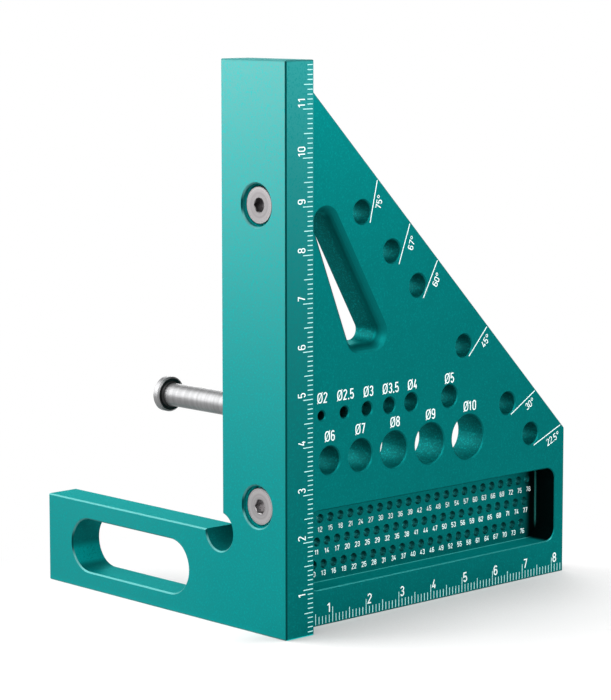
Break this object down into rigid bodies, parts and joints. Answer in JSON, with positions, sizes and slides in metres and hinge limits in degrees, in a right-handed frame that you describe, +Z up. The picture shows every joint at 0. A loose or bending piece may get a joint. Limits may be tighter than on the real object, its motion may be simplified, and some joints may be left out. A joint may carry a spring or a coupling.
{
  "type": "adjustable set square",
  "caption": "Upright L frame with a ruled post and a slotted foot, a 45 degree side plate with angle, gauge and scribing holes, and a parked stop pin.",
  "frame": {"origin": "middle of the side plate's thickness, where its underside meets the frame's back face, which is the fence", "axes": "+Z up along the post, +Y from the fence along the side plate, +X from the foot's tip towards the ruled side of the post"},
  "size_m": [0.08, 0.092, 0.12],
  "materials": {
    "frame_anodised": "bead-blasted, teal anodised",
    "plate_anodised": "bead-blasted, teal anodised",
    "screw_steel": "turned and passivated steel",
    "dowel_steel": "ground steel",
    "pin_steel": "turned and polished steel"
  },
  "bodies": {
    "square": {"l_frame": "frame_anodised", "side_plate": "plate_anodised", "upper_screw": "screw_steel", "lower_screw": "screw_steel", "upper_dowel": "dowel_steel", "lower_dowel": "dowel_steel"},
    "pin": {"stop_pin": "pin_steel"}
  },
  "joints": [
    {"name": "pin_slide", "type": "slide", "parent": "square", "child": "pin", "axis": [-1, 0, 0], "range_m": [0, 0.014]}
  ]
}
